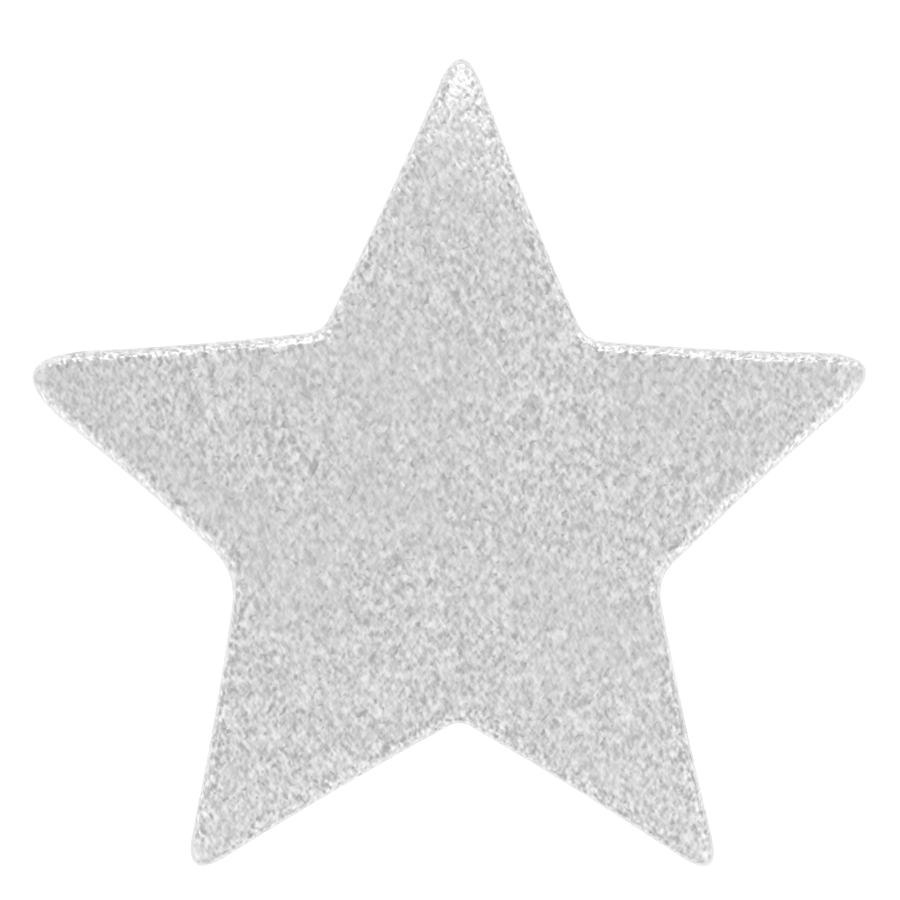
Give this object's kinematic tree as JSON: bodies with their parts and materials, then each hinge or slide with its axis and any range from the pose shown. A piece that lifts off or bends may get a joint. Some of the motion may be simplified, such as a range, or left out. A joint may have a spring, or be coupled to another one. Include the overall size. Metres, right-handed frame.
{
  "type": "star gift topper",
  "caption": "Stick-on gift topper: a scratch-brushed metal star with rounded shoulders, card core, foam adhesive pad and a peel-off liner.",
  "frame": {"origin": "centre of the stick-on pad, on the underside of the release liner", "axes": "+Z out of the star's face, +Y towards the star's top tip, +X to the right when facing the star"},
  "size_m": [0.0499, 0.0484, 0.0037],
  "materials": {
    "brushed_metal": "scratch-brushed satin, rounded edges polished",
    "greyboard": "matt greyboard",
    "glue": "clear acrylic adhesive",
    "white_card": "matt uncoated card",
    "foam": "closed-cell foam",
    "liner_paper": "siliconised, soft sheen"
  },
  "bodies": {
    "root": {"face_shell": "brushed_metal", "filler_core": "greyboard", "core_glue": "glue", "backing_card": "white_card", "pad_back_adhesive": "glue", "pad_foam": "foam", "pad_face_adhesive": "glue"},
    "liner": {"release_liner": "liner_paper"}
  },
  "joints": [
    {"name": "liner_peel", "type": "hinge", "parent": "root", "child": "liner", "pos_m": [0, -0.0116, 0.00012], "axis": [-1, 0, 0], "range_deg": [0, 179.9]}
  ]
}
